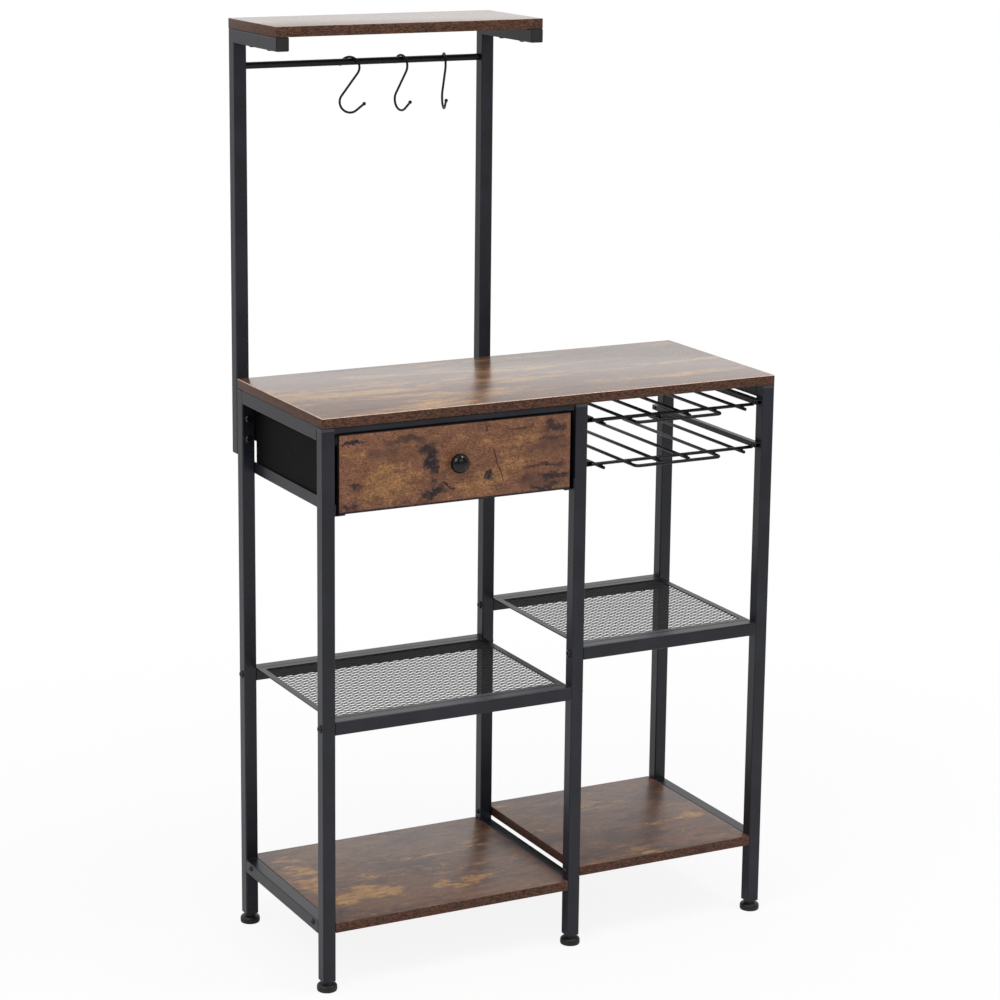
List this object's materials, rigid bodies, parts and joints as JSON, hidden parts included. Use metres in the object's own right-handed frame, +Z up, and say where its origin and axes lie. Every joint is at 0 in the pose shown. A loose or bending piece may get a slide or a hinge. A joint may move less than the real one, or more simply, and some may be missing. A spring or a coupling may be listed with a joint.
{
  "type": "coffee station",
  "caption": "Slim steel-tube coffee station with a wood worktop, a drawer, mesh shelves, a wire rack, low boards and a raised back shelf with a hook rod.",
  "frame": {"origin": "on the floor, under the middle of the outer box, knob, posts and screw heads included", "axes": "+Z up, the drawer opens towards -Y, +X towards the wire rack's side"},
  "size_m": [0.755, 0.357, 1.385],
  "materials": {
    "black_steel": "satin",
    "wood_board": "satin",
    "black_panel": "matte",
    "plain_wood": "matte",
    "black_plastic": "matte",
    "black_knob": "gloss",
    "black_fastener": "satin"
  },
  "bodies": {
    "frame": {"back_left_leg": "black_steel", "back_middle_leg": "black_steel", "back_right_leg": "black_steel", "board_screws": "black_fastener", "drawer_runners": "black_steel", "drawer_top_rail": "black_steel", "front_left_leg": "black_steel", "front_middle_leg": "black_steel", "front_right_leg": "black_steel", "hanging_rod": "black_steel", "hutch_bolts": "black_fastener", "hutch_end_plugs": "black_plastic", "left_arm": "black_steel", "left_bottom_board": "wood_board", "left_bottom_rail": "black_steel", "left_post": "black_steel", "left_shelf_back_rail": "black_steel", "left_shelf_frame": "black_steel", "left_shelf_front_rail": "black_steel", "left_shelf_mesh": "black_steel", "left_top_rail": "black_steel", "leg_inserts": "black_plastic", "lower_rack_wires": "black_steel", "middle_bottom_rail": "black_steel", "middle_top_rail": "black_steel", "rack_screws": "black_fastener", "rack_side_bars": "black_steel", "right_arm": "black_steel", "right_bottom_board": "wood_board", "right_bottom_rail": "black_steel", "right_post": "black_steel", "right_shelf_back_rail": "black_steel", "right_shelf_frame": "black_steel", "right_shelf_front_rail": "black_steel", "right_shelf_mesh": "black_steel", "right_top_rail": "black_steel", "shelf_screws": "black_fastener", "top_shelf": "wood_board", "upper_rack_wires": "black_steel", "worktop": "wood_board"},
    "drawer": {"drawer_back": "black_panel", "drawer_bottom": "black_panel", "drawer_dowels": "plain_wood", "drawer_front": "wood_board", "drawer_knob": "black_knob", "drawer_left_side": "black_panel", "drawer_right_side": "black_panel", "knob_screw": "black_fastener"},
    "first_hook": {"first_hook": "black_steel"},
    "second_hook": {"second_hook": "black_steel"},
    "third_hook": {"third_hook": "black_steel"},
    "front_left_foot": {"front_left_foot": "black_plastic"},
    "front_middle_foot": {"front_middle_foot": "black_plastic"},
    "front_right_foot": {"front_right_foot": "black_plastic"},
    "back_left_foot": {"back_left_foot": "black_plastic"},
    "back_middle_foot": {"back_middle_foot": "black_plastic"},
    "back_right_foot": {"back_right_foot": "black_plastic"}
  },
  "joints": [
    {"name": "drawer_slide", "type": "slide", "parent": "frame", "child": "drawer", "axis": [0, -1, 0], "range_m": [0, 0.2]},
    {"name": "first_hook_swing", "type": "hinge", "parent": "frame", "child": "first_hook", "pos_m": [-0.18354, 0.16154, 1.316], "axis": [1, 0, 0], "range_deg": [-60, 60]},
    {"name": "second_hook_swing", "type": "hinge", "parent": "frame", "child": "second_hook", "pos_m": [-0.09906, 0.16154, 1.316], "axis": [1, 0, 0], "range_deg": [-60, 60]},
    {"name": "third_hook_swing", "type": "hinge", "parent": "frame", "child": "third_hook", "pos_m": [-0.02764, 0.16154, 1.316], "axis": [1, 0, 0], "range_deg": [-60, 60]},
    {"name": "front_left_foot_screw_out", "type": "slide", "parent": "frame", "child": "front_left_foot", "axis": [0, 0, -1], "range_m": [0, 0.008]},
    {"name": "front_middle_foot_screw_out", "type": "slide", "parent": "frame", "child": "front_middle_foot", "axis": [0, 0, -1], "range_m": [0, 0.008]},
    {"name": "front_right_foot_screw_out", "type": "slide", "parent": "frame", "child": "front_right_foot", "axis": [0, 0, -1], "range_m": [0, 0.008]},
    {"name": "back_left_foot_screw_out", "type": "slide", "parent": "frame", "child": "back_left_foot", "axis": [0, 0, -1], "range_m": [0, 0.008]},
    {"name": "back_middle_foot_screw_out", "type": "slide", "parent": "frame", "child": "back_middle_foot", "axis": [0, 0, -1], "range_m": [0, 0.008]},
    {"name": "back_right_foot_screw_out", "type": "slide", "parent": "frame", "child": "back_right_foot", "axis": [0, 0, -1], "range_m": [0, 0.008]}
  ]
}
